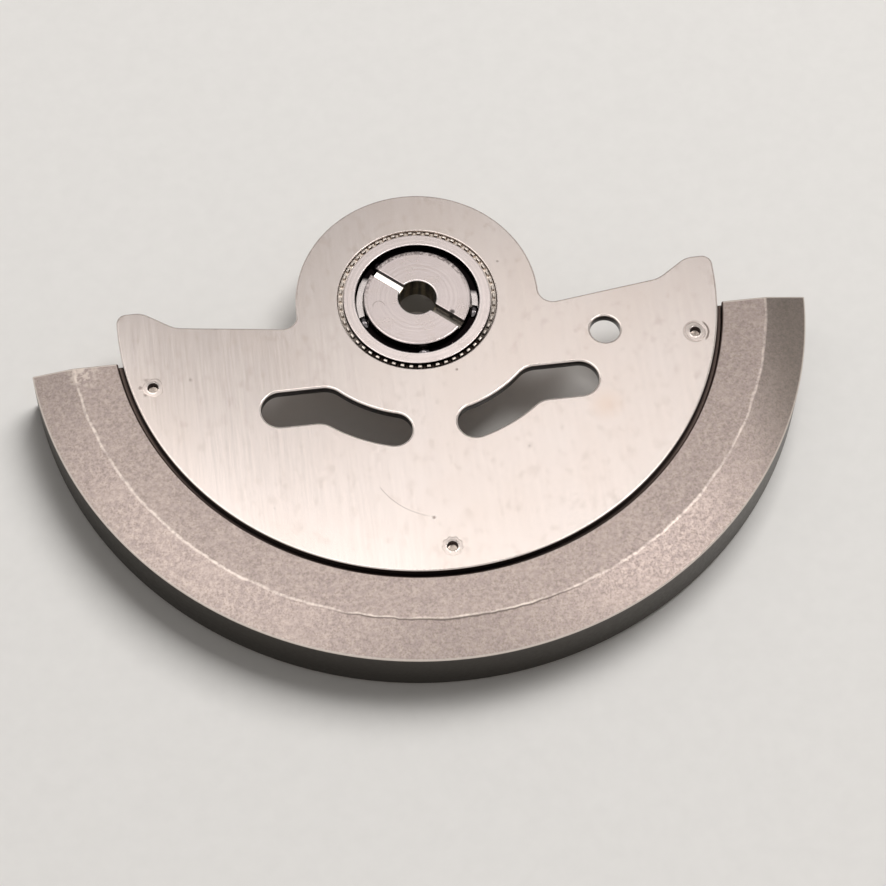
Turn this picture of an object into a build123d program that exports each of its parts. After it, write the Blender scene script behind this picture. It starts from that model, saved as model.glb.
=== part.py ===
from build123d import *
import os
from math import asin, cos, degrees, radians, sin, sqrt, tan

# Automatic watch rotor, in millimetres. A stamped plate carries a heavy half ring and turns on a
# five-ball bearing, whose hollow screw holds it on the movement.
# The bearing's axis is Z. The origin is on that axis, at the seat on the movement, with +Z out of
# the watch and the weight on the -Y side.

# Heights
plate_top = 1.10              # seat on the movement to the plate's top face
plate_thickness = 0.35
ball_plane_depth = 0.35       # plate's top face down to the balls' centres
weight_depth = 2.30           # plate's top face down to the weight's foot

# Bearing
bore_radius = 0.65
running_gap = 0.297           # between the walls of the inner and outer race
race_wall = 0.393
race_height = 1.00
race_rise = 0.05              # above the plate's top face
race_chamfer = 0.025
ball_diameter = 0.50
ball_count = 5
first_ball_angle = -90        # degrees from +X, straight towards the weight
ball_clearance = 0.02

# Hub screw and lower cone
hub_rise = 0.12               # above the plate's top face
hub_chamfer = 0.04
hub_bore_chamfer = 0.03
slot_width = 0.30
slot_depth = 0.28
slot_angle = -41              # degrees from +X
screw_wall = 0.30             # wall of the stud round the bore
stud_length = 0.90
stud_chamfer = 0.08
shank_step = 0.25             # shank inside the lower cone, thicker than the stud
cone_width = 0.61             # shank to the outside of the disc head and the lower cone
shank_lift = 0.02             # shank ends this far above the seat
cone_foot_chamfer = 0.16

# Cage
cage_clearance = 0.05         # to each race wall
cage_pocket_clearance = 0.04
cage_rise = 0.15              # above the balls' centres, so that each pocket grips its ball
cage_web = 0.10               # under each pocket

# Gear carrier
knurl_groove = 0.06           # open groove between the race and the knurl
knurl_width = 0.09
knurl_edge_gap = 0.05         # between the knurl and the plate's hole
knurl_height = 0.12
knurl_rise = 0.02             # above the plate's top face
knurl_pitch = 0.2978          # along the knurl's middle circle
knurl_tooth_share = 0.62      # tooth's part of the pitch
gear_flange_width = 0.55      # plate's hole to the pitch circle
gear_module = 0.12
gear_height = 0.30
gear_addendum_share = 0.95    # of the module
gear_dedendum_share = 1.25
gear_tooth_share = 0.47       # tooth's part of the circular pitch
gear_tip_share = 0.45         # of the tooth's width
sleeve_wall = 0.30
sleeve_length = 0.15          # below the teeth

# Plate
rotor_radius = 13.20          # outside of the weight
rim_width = 2.87              # weight's top, from inner edge to outside
rim_gap = 0.15                # between the plate and the weight's inner edge
boss_width = 1.42             # round the bearing's hole
horn_height = 0.57            # horn's top above the bearing's axis
horn_corner_radius = 0.35
horn_top_inset = 0.88         # plate's edge to where the horn slopes down
horn_top_radius = 0.80
horn_foot_inset = 1.93        # plate's edge to the slope's foot
horn_foot_depth = 0.14
horn_foot_radius = 1.00
shoulder_inset = 0.60         # where the shoulder line ends inside the boss
shoulder_depth = 0.76
boss_fillet = 0.50
round_hole_radius = 0.51
round_hole_inset = 4.03       # plate's edge to the hole's centre, along X
round_hole_depth = 1.90       # below the axis

# S-shaped cut-outs
cutout_band = 0.32            # from the boss's radius to the cut-out
cutout_arc_width = 1.19
cutout_arc_tip_angle = 15.7   # degrees from -Y to the inner end's centre
cutout_widening = 0.10        # straight part's width over the arc's
cutout_elbow_x = 3.45         # where the arc's middle line meets the straight part's
cutout_straight = 1.57        # from there to the centre of its outer end
cutout_elbow_radius = 0.80

# Weight
top_flat_width = 1.50
weight_top_drop = 0.084       # below the plate's top face
bevel_drop = 0.281
weight_end_depth = 1.26       # flat ends below the axis
weight_end_radius = 0.12
ledge_width = 1.75
ledge_thickness = 0.70
rim_inner_lean = 0.12         # taper of the rim's inner wall below the ledge
weight_foot_chamfer = 0.15

# Rivets
rivet_radius = 0.30
rivet_head_radius = 0.36
rivet_head_rise = 0.04
rivet_head_taper = 20         # degrees
rivet_pit_radius = 0.17
rivet_pit_depth = 0.30
side_rivet_inset = 0.72       # plate's edge to the rivet's axis
lower_rivet_inset = 0.83
side_rivet_angle = 14.45      # degrees below the X axis

# Fits
press_clearance = 0.01
overrun = 0.50                # how far a cut runs past what it cuts

# Derived places
plate_foot = plate_top - plate_thickness
ball_plane = plate_top - ball_plane_depth
ball_radius = ball_diameter / 2
stud_radius = bore_radius + screw_wall
shank_radius = stud_radius + shank_step
hub_radius = shank_radius + cone_width
race_inner_radius = hub_radius + running_gap
race_outer_radius = race_inner_radius + race_wall
ball_pitch_radius = (hub_radius + race_inner_radius) / 2
seat_reach = (ball_radius + ball_clearance) * sqrt(2)      # balls' centres to the corner of a 90 degree seat
seat_rise = seat_reach - running_gap / 2
knurl_inner_radius = race_outer_radius + knurl_groove
knurl_outer_radius = knurl_inner_radius + knurl_width
bearing_hole_radius = knurl_outer_radius + knurl_edge_gap
boss_radius = bearing_hole_radius + boss_width
weight_inner_radius = rotor_radius - rim_width
plate_radius = weight_inner_radius - rim_gap
weight_foot = plate_top - weight_depth
ball_angles = [first_ball_angle + number * 360 / ball_count for number in range(ball_count)]


def on_circle(radius, angle):
    """Point on a circle round the bearing's axis, angle in degrees from +X."""
    return (radius * cos(radians(angle)), radius * sin(radians(angle)))


rivet_points = [
    on_circle(plate_radius - side_rivet_inset, 180 + side_rivet_angle),
    on_circle(plate_radius - side_rivet_inset, -side_rivet_angle),
    on_circle(plate_radius - lower_rivet_inset, -90),
]

os.makedirs("parts", exist_ok=True)


def keep(builder, name):
    """Label a finished piece and write it under its name."""
    builder.part.label = name
    export_step(builder.part, "parts/" + name + ".step")
    print(name, "solids", len(builder.part.solids()), "volume", round(builder.part.volume, 4))


# Slotted hub: disc head with the upper cone for the balls, shank, stud and bore
hub_top = plate_top + hub_rise
with BuildPart() as slotted_hub:
    with BuildSketch(Plane.XZ):
        with BuildLine():
            Polyline(
                (ball_pitch_radius - seat_reach, ball_plane),
                (hub_radius, ball_plane + seat_rise),
                (hub_radius, hub_top - hub_chamfer),
                (hub_radius - hub_chamfer, hub_top),
                (bore_radius + hub_bore_chamfer, hub_top),
                (bore_radius, hub_top - hub_bore_chamfer),
                (bore_radius, -stud_length),
                (stud_radius - stud_chamfer, -stud_length),
                (stud_radius, stud_chamfer - stud_length),
                (stud_radius, shank_lift),
                (shank_radius, shank_lift),
                (shank_radius, ball_plane),
                close=True,
            )
        make_face()
    revolve(axis=Axis.Z)
    with BuildSketch(Plane.XY.offset(hub_top)):
        Rectangle(2 * hub_radius + overrun, slot_width, rotation=slot_angle)
    extrude(amount=-slot_depth, mode=Mode.SUBTRACT)
keep(slotted_hub, "slotted_hub")

# Lower cone: the cone under the balls, and the seat on the movement
cone_bore_radius = shank_radius + press_clearance
with BuildPart() as lower_cone:
    with BuildSketch(Plane.XZ):
        with BuildLine():
            Polyline(
                (ball_pitch_radius - seat_reach, ball_plane),
                (hub_radius, ball_plane - seat_rise),
                (hub_radius, cone_foot_chamfer),
                (hub_radius - cone_foot_chamfer, 0),
                (cone_bore_radius, 0),
                (cone_bore_radius, ball_plane),
                close=True,
            )
        make_face()
    revolve(axis=Axis.Z)
keep(lower_cone, "lower_cone")

# Outer race: plain ring with a 90 degree groove for the balls
race_top = plate_top + race_rise
race_foot = race_top - race_height
with BuildPart() as outer_race:
    with BuildSketch(Plane.XZ):
        with BuildLine():
            Polyline(
                (ball_pitch_radius + seat_reach, ball_plane),
                (race_inner_radius, ball_plane + seat_rise),
                (race_inner_radius, race_top - race_chamfer),
                (race_inner_radius + race_chamfer, race_top),
                (race_outer_radius - race_chamfer, race_top),
                (race_outer_radius, race_top - race_chamfer),
                (race_outer_radius, race_foot + race_chamfer),
                (race_outer_radius - race_chamfer, race_foot),
                (race_inner_radius, race_foot),
                (race_inner_radius, ball_plane - seat_rise),
                close=True,
            )
        make_face()
    revolve(axis=Axis.Z)
keep(outer_race, "outer_race")

# Gear carrier: knurled collar in the plate's hole, toothed flange under the plate, short sleeve below
carrier_bore_radius = race_outer_radius + press_clearance
collar_radius = bearing_hole_radius - press_clearance
collar_top = plate_top + knurl_rise - knurl_height
gear_foot = plate_foot - gear_height
gear_pitch_radius = bearing_hole_radius + gear_flange_width
gear_teeth = round(2 * gear_pitch_radius / gear_module)
tooth_module = 2 * gear_pitch_radius / gear_teeth
gear_tip_radius = gear_pitch_radius + gear_addendum_share * tooth_module
gear_root_radius = gear_pitch_radius - gear_dedendum_share * tooth_module
tooth_half_angle = 180 / gear_teeth * gear_tooth_share
knurl_middle_radius = (knurl_inner_radius + knurl_outer_radius) / 2
knurl_count = round(radians(360) * knurl_middle_radius / knurl_pitch)
knurl_notch_width = radians(360) * knurl_middle_radius / knurl_count * (1 - knurl_tooth_share)
with BuildSketch() as gear_tooth:
    right_side = [
        on_circle(gear_root_radius - tooth_module, -tooth_half_angle),
        on_circle(gear_pitch_radius, -tooth_half_angle),
        on_circle(gear_tip_radius, -tooth_half_angle * gear_tip_share),
    ]
    with BuildLine():
        Polyline(*right_side, *[(x, -y) for x, y in reversed(right_side)], close=True)
    make_face()
with BuildPart() as gear_carrier:
    with BuildSketch(Plane.XY.offset(gear_foot)):
        Circle(gear_root_radius)
        with PolarLocations(0, gear_teeth):
            add(gear_tooth.sketch)
    extrude(amount=gear_height)
    with BuildSketch(Plane.XY.offset(plate_foot)):
        Circle(collar_radius)
    extrude(amount=collar_top - plate_foot)
    with BuildSketch(Plane.XY.offset(gear_foot)):
        Circle(race_outer_radius + sleeve_wall)
    extrude(amount=-sleeve_length)
    with BuildSketch(Plane.XY.offset(gear_foot - sleeve_length)):
        Circle(carrier_bore_radius)
    extrude(amount=knurl_height + plate_thickness + gear_height + sleeve_length + overrun, mode=Mode.SUBTRACT)
    with BuildSketch(Plane.XY.offset(collar_top)):
        Circle(knurl_outer_radius)
        Circle(knurl_inner_radius, mode=Mode.SUBTRACT)
        with PolarLocations(knurl_middle_radius, knurl_count):
            Rectangle(knurl_width + knurl_groove, knurl_notch_width, mode=Mode.SUBTRACT)
    extrude(amount=knurl_height)
keep(gear_carrier, "gear_carrier")

# Ball cage: crown ring with a round pocket for each ball, open at the top
with BuildPart() as ball_cage:
    pocket_radius = ball_radius + cage_pocket_clearance
    cage_foot = ball_plane - pocket_radius - cage_web
    with BuildSketch(Plane.XY.offset(cage_foot)):
        Circle(race_inner_radius - cage_clearance)
        Circle(hub_radius + cage_clearance, mode=Mode.SUBTRACT)
    extrude(amount=ball_plane + cage_rise - cage_foot)
    for angle in ball_angles:
        outward = (cos(radians(angle)), sin(radians(angle)), 0)
        with BuildSketch(Plane(origin=(0, 0, ball_plane), z_dir=outward)):
            Circle(pocket_radius)
        extrude(amount=race_outer_radius, mode=Mode.SUBTRACT)
keep(ball_cage, "ball_cage")

# Balls, each its own piece
for number, angle in enumerate(ball_angles):
    ball_x, ball_y = on_circle(ball_pitch_radius, angle)
    with BuildPart() as ball:
        with Locations((ball_x, ball_y, ball_plane)):
            Sphere(ball_radius)
    keep(ball, "ball_" + str(number + 1))

# Plate: outline with boss and horns, then its cut-outs and holes
rivet_hole_radius = rivet_radius + press_clearance
horn_tip_angle = degrees(asin(horn_height / plate_radius))
right_shoulder = [
    (sqrt(plate_radius ** 2 - horn_height ** 2), horn_height),
    (plate_radius - horn_top_inset, horn_height),
    (plate_radius - horn_foot_inset, -horn_foot_depth),
    (boss_radius - shoulder_inset, -shoulder_depth),
]
left_shoulder = [(-x, y) for x, y in reversed(right_shoulder)]
cutout_arc_radius = boss_radius + cutout_band + cutout_arc_width / 2
cutout_inner_radius = cutout_arc_radius - cutout_arc_width / 2
cutout_outer_radius = cutout_arc_radius + cutout_arc_width / 2
cutout_width = cutout_arc_width + cutout_widening
cutout_depth = sqrt(cutout_arc_radius ** 2 - cutout_elbow_x ** 2)
cutout_upper_edge = cutout_width / 2 - cutout_depth
cutout_lower_edge = -cutout_width / 2 - cutout_depth
cutout_reach = 2 * cutout_outer_radius
with BuildPart() as rotor_plate:
    with BuildSketch(Plane.XY.offset(plate_foot)) as outline:
        with BuildLine():
            CenterArc((0, 0), plate_radius, 180 - horn_tip_angle, 180 + 2 * horn_tip_angle)
            Polyline(*right_shoulder, *left_shoulder)
        make_face()
        for corner, radius in zip(right_shoulder, (horn_corner_radius, horn_top_radius, horn_foot_radius)):
            for side in (1, -1):
                at = (side * corner[0], corner[1], plate_foot)
                fillet(outline.vertices().sort_by_distance(at)[0], radius=radius)
        Circle(boss_radius)
        for side in (1, -1):
            meeting = (side * sqrt(boss_radius ** 2 - shoulder_depth ** 2), -shoulder_depth, plate_foot)
            fillet(outline.vertices().sort_by_distance(meeting)[0], radius=boss_fillet)
        Circle(bearing_hole_radius, mode=Mode.SUBTRACT)
        with Locations((plate_radius - round_hole_inset, -round_hole_depth)):
            Circle(round_hole_radius, mode=Mode.SUBTRACT)
        with Locations(*rivet_points):
            Circle(rivet_hole_radius, mode=Mode.SUBTRACT)
    extrude(amount=plate_thickness)
    with BuildSketch(Plane.XY.offset(plate_foot)) as cutout:
        Circle(cutout_outer_radius)
        Circle(cutout_inner_radius, mode=Mode.SUBTRACT)
        Polygon(
            (-cutout_upper_edge * tan(radians(cutout_arc_tip_angle)), cutout_upper_edge),
            on_circle(cutout_reach, -90 + cutout_arc_tip_angle),
            (cutout_reach, -cutout_reach),
            (cutout_reach, cutout_upper_edge),
            align=None,
            mode=Mode.INTERSECT,
        )
        with Locations(on_circle(cutout_arc_radius, -90 + cutout_arc_tip_angle)):
            Circle(cutout_arc_width / 2)
        with Locations((cutout_elbow_x + cutout_straight / 2, -cutout_depth)):
            Rectangle(cutout_straight, cutout_width)
        with Locations((cutout_elbow_x + cutout_straight, -cutout_depth)):
            Circle(cutout_width / 2)
        for arc_radius, edge in ((cutout_inner_radius, cutout_upper_edge), (cutout_outer_radius, cutout_lower_edge)):
            elbow = (sqrt(arc_radius ** 2 - edge ** 2), edge, plate_foot)
            fillet(cutout.vertices().sort_by_distance(elbow)[0], radius=cutout_elbow_radius)
        mirror(about=Plane.YZ)
    extrude(amount=plate_thickness, mode=Mode.SUBTRACT)
keep(rotor_plate, "rotor_plate")

# Weight: half ring with a ledge for the plate, a bevelled outside and flat ends
weight_top = plate_top - weight_top_drop
ledge_foot = plate_foot - ledge_thickness
ledge_inner_radius = weight_inner_radius - ledge_width
with BuildPart() as weight_segment:
    with BuildSketch(Plane.XZ):
        with BuildLine():
            Polyline(
                (ledge_inner_radius, plate_foot),
                (weight_inner_radius, plate_foot),
                (weight_inner_radius, weight_top),
                (weight_inner_radius + top_flat_width, weight_top),
                (rotor_radius, weight_top - bevel_drop),
                (rotor_radius, weight_foot + weight_foot_chamfer),
                (rotor_radius - weight_foot_chamfer, weight_foot),
                (weight_inner_radius + rim_inner_lean, weight_foot),
                (weight_inner_radius, ledge_foot),
                (ledge_inner_radius, ledge_foot),
                close=True,
            )
        make_face()
    revolve(axis=Axis.Z)
    split(bisect_by=Plane.XZ.offset(weight_end_depth), keep=Keep.TOP)
    corner_x = sqrt(weight_inner_radius ** 2 - weight_end_depth ** 2)
    corner_height = (plate_foot + weight_top) / 2
    for side in (1, -1):
        corner = (side * corner_x, -weight_end_depth, corner_height)
        fillet(weight_segment.edges().filter_by(Axis.Z).sort_by_distance(corner)[0], radius=weight_end_radius)
    with BuildSketch(Plane.XY.offset(plate_foot)):
        with Locations(*rivet_points):
            Circle(rivet_hole_radius)
    extrude(amount=-ledge_thickness, mode=Mode.SUBTRACT)
keep(weight_segment, "weight_segment")

# Rivets: shank through the ledge and the plate, upset rim on the plate and a pit in the end
with BuildPart() as stake_rivets:
    with BuildSketch(Plane.XY.offset(ledge_foot)):
        with Locations(*rivet_points):
            Circle(rivet_radius)
    extrude(amount=plate_top - ledge_foot)
    with BuildSketch(Plane.XY.offset(plate_top)):
        with Locations(*rivet_points):
            Circle(rivet_head_radius)
    extrude(amount=rivet_head_rise, taper=rivet_head_taper)
    with BuildSketch(Plane.XY.offset(plate_top + rivet_head_rise)):
        with Locations(*rivet_points):
            Circle(rivet_pit_radius)
    extrude(amount=-rivet_pit_depth, mode=Mode.SUBTRACT)
keep(stake_rivets, "stake_rivets")
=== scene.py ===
import bpy
import numpy as np
from mathutils import Matrix, Vector
from mathutils.geometry import tessellate_polygon


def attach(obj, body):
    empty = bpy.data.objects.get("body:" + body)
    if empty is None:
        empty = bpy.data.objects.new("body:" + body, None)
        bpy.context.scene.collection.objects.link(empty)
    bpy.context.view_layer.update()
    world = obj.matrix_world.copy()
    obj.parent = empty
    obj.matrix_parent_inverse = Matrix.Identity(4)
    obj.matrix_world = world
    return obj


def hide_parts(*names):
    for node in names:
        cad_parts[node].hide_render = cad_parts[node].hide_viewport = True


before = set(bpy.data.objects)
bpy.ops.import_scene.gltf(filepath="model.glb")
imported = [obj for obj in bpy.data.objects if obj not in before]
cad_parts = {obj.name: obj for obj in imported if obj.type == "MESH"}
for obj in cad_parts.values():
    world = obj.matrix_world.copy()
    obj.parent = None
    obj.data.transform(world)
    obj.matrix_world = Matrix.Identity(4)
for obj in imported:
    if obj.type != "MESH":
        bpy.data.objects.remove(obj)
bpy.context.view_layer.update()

# Looks of a watch's winding rotor. Shapes are worked out in millimetres and put into the meshes in metres.
# The bearing's axis is Z, the plate's top face looks along +Z and the weight is on the -Y side.
MM = 0.001

# Heights
PLATE_TOP, PLATE_FOOT = 1.10, 0.75
BALL_PLANE = 0.75
HUB_TOP, SLOT_FLOOR, STUD_FOOT = 1.22, 0.94, -0.90
RACE_TOP, RACE_FOOT = 1.15, 0.15
WEIGHT_TOP, WEIGHT_RIM, LEDGE_FOOT, WEIGHT_FOOT = 1.016, 0.735, 0.05, -1.20

# Radii of the bearing, from the inside out
BORE, STUD, SHANK, HUB = 0.65, 0.95, 1.20, 1.81
RACE_INNER, RACE_OUTER = 2.107, 2.50
BALL, BALL_PITCH = 0.25, 1.9585
KNURL_INNER, KNURL_OUTER = 2.56, 2.65
BEARING_HOLE = 2.70

# The balls run in seats of 90 degrees. A seat's corner lies its reach from the balls' centres, and its two
# sides rise and fall from there to the hub's or the race's wall.
SEAT_REACH = 0.3818
SEAT_IN, SEAT_OUT = BALL_PITCH - SEAT_REACH, BALL_PITCH + SEAT_REACH
SEAT_LOW, SEAT_HIGH = BALL_PLANE - (HUB - SEAT_IN), BALL_PLANE + (HUB - SEAT_IN)

# Driver slot: its turn about the bearing's axis and half its width
SLOT_TURN, SLOT_HALF = np.radians(-41), 0.15

# Plate, weight and rivets
PLATE, BOSS = 10.18, 4.12
LEDGE, WEIGHT_INNER, RIDGE, ROTOR = 8.58, 10.33, 11.83, 13.20
WEIGHT_END = 1.26              # flat ends below the bearing's axis
RIVETS = [(-9.1609, -2.3605), (9.1609, -2.3605), (0.0, -9.35)]


def unit(v):
    """Vectors along the last axis, each divided by its length."""
    return v / np.linalg.norm(v, axis=-1, keepdims=True)


def rounded(corners, divisions=4, lead=0.008):
    """Closed outline from corners (a, b, radius). The arc in a corner leaves its two sides at
    radius / tan(half the inner angle) from the corner, and its points turn evenly from one side's
    normal to the other's. One more point a lead away on each side keeps the flats' shading flat."""
    c = np.array(corners, float)
    p, radius = c[:, :2], np.maximum(c[:, 2:], 1e-4)
    back, ahead = unit(np.roll(p, 1, 0) - p), unit(np.roll(p, -1, 0) - p)
    half = np.arccos(np.clip((back * ahead).sum(1, keepdims=True), -1, 1)) / 2
    touch = radius / np.tan(half)
    centre = p + unit(back + ahead) * radius / np.sin(half)
    first = (p + back * touch - centre) / radius
    last = (p + ahead * touch - centre) / radius
    t = np.linspace(0, 1, divisions + 1)[None, :, None]
    turn = (np.pi - 2 * half)[:, None, :]
    arcs = (np.sin((1 - t) * turn) * first[:, None] + np.sin(t * turn) * last[:, None]) / np.sin(turn)
    points = np.concatenate([
        (p + back * (touch + lead))[:, None],
        centre[:, None] + radius[:, None] * arcs,
        (p + ahead * (touch + lead))[:, None],
    ], axis=1)
    return points.reshape(-1, 2)


def shifted(outline, distance):
    """Closed outline moved to its right-hand side by a distance, along the mitre of each point's two
    sides."""
    along = unit(np.roll(outline, -1, 0) - outline)
    normal = np.stack([along[:, 1], -along[:, 0]], axis=1)
    before = np.roll(normal, 1, 0)
    mitre = (normal + before) / (1 + (normal * before).sum(1, keepdims=True))
    return outline + distance * mitre


def arc(centre, radius, start, turn, count):
    """Points on a circle from the start angle through the turn, in degrees, both ends in."""
    a = np.radians(start + turn * np.linspace(0, 1, count))
    return np.stack([centre[0] + radius * np.cos(a), centre[1] + radius * np.sin(a)], axis=1)


def heading(v):
    """Angle of a vector from +X, in degrees."""
    return np.degrees(np.arctan2(v[1], v[0]))


def polar(radius, angle, height):
    """Points at a radius and an angle in radians round the bearing's axis, at a height."""
    return np.stack([radius * np.cos(angle), radius * np.sin(angle), height + 0 * radius], axis=-1)


def spun(points, turn):
    """Points turned about the bearing's axis: (x cos - y sin, x sin + y cos, z)."""
    cos, sin = np.cos(turn), np.sin(turn)
    return points.reshape(-1, 3) @ np.array([[cos, sin, 0], [-sin, cos, 0], [0, 0, 1]])


def quads(rows, columns, closed):
    """Faces of a grid kept row by row. Every row closes on itself, and when closed is set so do the rows."""
    row = np.arange(rows if closed else rows - 1)[:, None]
    column = np.arange(columns)[None, :]
    here, ahead, beside = row * columns, (row + 1) % rows * columns, (column + 1) % columns
    return np.stack([here + column, here + beside, ahead + beside, ahead + column], -1).reshape(-1, 4)


def filled(loops):
    """Triangles that fill a closed flat loop, less the loops inside it, as numbers into all their points.
    A triangle is turned round where the cross product of its sides is negative, so all run anticlockwise."""
    points = np.concatenate(loops)
    triangles = np.array(tessellate_polygon([[Vector((*point, 0)) for point in loop] for loop in loops]))
    a, b, c = (points[triangles[:, i]] for i in range(3))
    cross = (b - a)[:, 0] * (c - a)[:, 1] - (b - a)[:, 1] * (c - a)[:, 0]
    return np.where(cross[:, None] > 0, triangles, triangles[:, ::-1])


def piece(name, points, faces, material, slot, body, nodes, flat=(), sharp=32):
    """A mesh from points in millimetres, with its faces outwards. It shades smooth but for the faces
    named in flat and for the edges that turn by more than sharp degrees. Faces are turned round when
    the sum of a . (b x c) over their triangles, six times the volume they enclose, is negative."""
    points = np.asarray(points, float).reshape(-1, 3)
    faces = [list(map(int, face)) for face in faces]
    volume = 0.0
    for size in {len(face) for face in faces}:
        ring = points[np.array([face for face in faces if len(face) == size])]
        for i in range(1, size - 1):
            volume += (ring[:, 0] * np.cross(ring[:, i], ring[:, i + 1])).sum()
    if volume < 0:
        faces = [face[::-1] for face in faces]
    mesh = bpy.data.meshes.new(name)
    mesh.from_pydata((points * MM).tolist(), [], faces)
    smooth = np.ones(len(faces), bool)
    smooth[list(flat)] = False
    mesh.set_sharp_from_angle(angle=np.radians(sharp))
    mesh.polygons.foreach_set("use_smooth", smooth)
    mesh.materials.append(material)
    mesh.update()
    made = bpy.data.objects.new(name, mesh)
    bpy.context.scene.collection.objects.link(made)
    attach(made, body)
    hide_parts(*nodes)
    return made


def turned(outline, count):
    """Closed outline of (radius, height) points carried round the bearing's axis: radius, height and
    angle grids, one row for each angle."""
    angle = np.linspace(0, 2 * np.pi, count, endpoint=False)[:, None] + 0 * outline[None, :, 0]
    return outline[None, :, 0] + 0 * angle, outline[None, :, 1] + 0 * angle, angle


def ring_piece(name, outline, count, *rest):
    """A ring of one outline, closed both ways."""
    radius, height, angle = turned(outline, count)
    return piece(name, polar(radius, angle, height), quads(count, len(outline), True), *rest)


def half_ring(outline, end, edge, count):
    """Outline of (radius, height) points carried round on the -Y side between two flat ends at y = -end.
    A point at radius r starts asin(depth / r) below the X axis and stops as far short of the other side.
    Near each end the depth is end + edge * (1 - cos t) while the outline shrinks by edge * (1 - sin t),
    t from 0 to a right angle, which rounds the ends' edges, and one more row follows 0.01 further in.
    The two ends are filled flat, and their triangles turn with the walls' faces."""
    t = np.radians([0, 30, 60, 90])
    shrink = np.append(edge * (1 - np.sin(t)), 0)
    depth = np.append(end + edge * (1 - np.cos(t)), end + edge + 0.01)
    rows = [shifted(outline, -s) for s in shrink]
    right = [polar(r[:, 0], -np.arcsin(d / r[:, 0]), r[:, 1]) for r, d in zip(rows, depth)]
    left = [p * [-1, 1, 1] for p in right[::-1]]
    start = np.arcsin(depth[-1] / outline[:, 0])
    share = (np.arange(1, count) / count)[:, None]
    angle = -start - share * (np.pi - 2 * start)
    middle = polar(outline[None, :, 0] + 0 * angle, angle, outline[None, :, 1] + 0 * angle)
    points = np.concatenate([right, middle, left])
    faces = quads(len(points), len(outline), False).tolist()
    cap = filled([outline])
    if ((outline * np.roll(outline, -1, 0)[:, ::-1]) @ [1, -1]).sum() <= 0:
        cap = cap[:, ::-1]
    caps = cap[:, ::-1].tolist() + (cap + (len(points) - 1) * len(outline)).tolist()
    return points, faces + caps, range(len(faces), len(faces) + len(caps))


def stamped(loops, edges, top, foot):
    """Sheet between two heights with rounded edges. A loop's wall has the sheet's edge moved in by
    edge * (1 - sin t) at the height top - edge * (1 - cos t), t from 0 to a right angle, then runs straight
    down to a small slant at the foot. One more row further in at the top and at the foot keeps their shading
    flat. The top and the foot are filled between the loops."""
    t = np.radians([0, 22.5, 45, 67.5, 90])
    points, faces, start, tops, feet = [], [], 0, [], []
    for loop, edge in zip(loops, edges):
        inset = np.concatenate([[edge + 0.012], edge * (1 - np.sin(t)), [0, 0, 0.012, 0.03, 0.042]])
        height = np.concatenate([[top], top - edge * (1 - np.cos(t)),
                                 [top - edge - 0.01, foot + 0.03, foot + 0.008, foot, foot]])
        points += [np.column_stack([shifted(loop, -i), np.full(len(loop), h)])
                   for i, h in zip(inset, height)]
        faces.append(quads(len(inset), len(loop), False) + start)
        tops.append(start + np.arange(len(loop)))
        start += len(loop) * len(inset)
        feet.append(start - len(loop) + np.arange(len(loop)))
    points, faces = np.concatenate(points), np.concatenate(faces)[:, ::-1].tolist()
    walls = len(faces)
    fill = filled([points[loop, :2] for loop in tops])
    faces += np.concatenate(tops)[fill].tolist() + np.concatenate(feet)[fill[:, ::-1]].tolist()
    return points, faces, range(walls, len(faces))


def wave(angle, count, share, slope=5):
    """1 over a share of each of count equal parts of a turn and 0 over the rest, with straight flanks as
    steep as slope says, softened by 3 w^2 - 2 w^3."""
    part = np.abs((angle * count / (2 * np.pi)) % 1 - 0.5)
    w = np.clip(0.5 + (share / 2 - part) * slope, 0, 1)
    return w * w * (3 - 2 * w)


def srgb(code):
    """Linear colour of an sRGB hex code: ((c + 0.055) / 1.055) ^ 2.4, and c / 12.92 for the darkest."""
    c = np.array([int(code[i:i + 2], 16) for i in (1, 3, 5)]) / 255
    linear = np.where(c <= 0.04045, c / 12.92, ((c + 0.055) / 1.055) ** 2.4)
    return (*linear.tolist(), 1.0)


def steps(*sizes):
    """Pattern steps to a metre, from sizes in millimetres."""
    return [1 / (size * MM) for size in sizes]


def add(tree, kind, *inputs, out=0, **settings):
    """One node with its settings. Its inputs come in order, or as one dictionary: a value is set and a
    socket is linked. It gives back one of the node's outputs."""
    made = tree.nodes.new("ShaderNode" + kind)
    for key, value in settings.items():
        setattr(made, key, value)
    named = inputs and isinstance(inputs[0], dict)
    for key, value in inputs[0].items() if named else enumerate(inputs):
        if isinstance(value, bpy.types.NodeSocket):
            tree.links.new(value, made.inputs[key])
        else:
            made.inputs[key].default_value = value
    return made.outputs[out]


def finish(name, colour, metallic, roughness):
    """A named material with one shader, and the object's own coordinates."""
    made = bpy.data.materials.new(name)
    made.use_nodes = True
    tree = made.node_tree
    shader = tree.nodes["Principled BSDF"]
    shader.inputs["Base Color"].default_value = srgb(colour)
    shader.inputs["Metallic"].default_value = metallic
    shader.inputs["Roughness"].default_value = roughness
    return made, tree, shader, add(tree, "TexCoord", out="Object")


def off_axis(tree, place, x=0.0, y=0.0):
    """Distance in metres from the upright line at (x, y) in millimetres."""
    moved = add(tree, "VectorMath", place, (-x * MM, -y * MM, 0), operation="ADD")
    level = add(tree, "VectorMath", moved, (1, 1, 0), operation="MULTIPLY")
    return add(tree, "VectorMath", level, out="Value", operation="LENGTH")


def band(tree, value, middle, half, soft):
    """1 where a value lies within half of the middle, in millimetres, fading to 0 over soft."""
    away = add(tree, "Math", value, middle * MM, operation="SUBTRACT")
    size = add(tree, "Math", away, operation="ABSOLUTE")
    return add(tree, "MapRange", size, half * MM, (half + soft) * MM, 1.0, 0.0)


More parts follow.
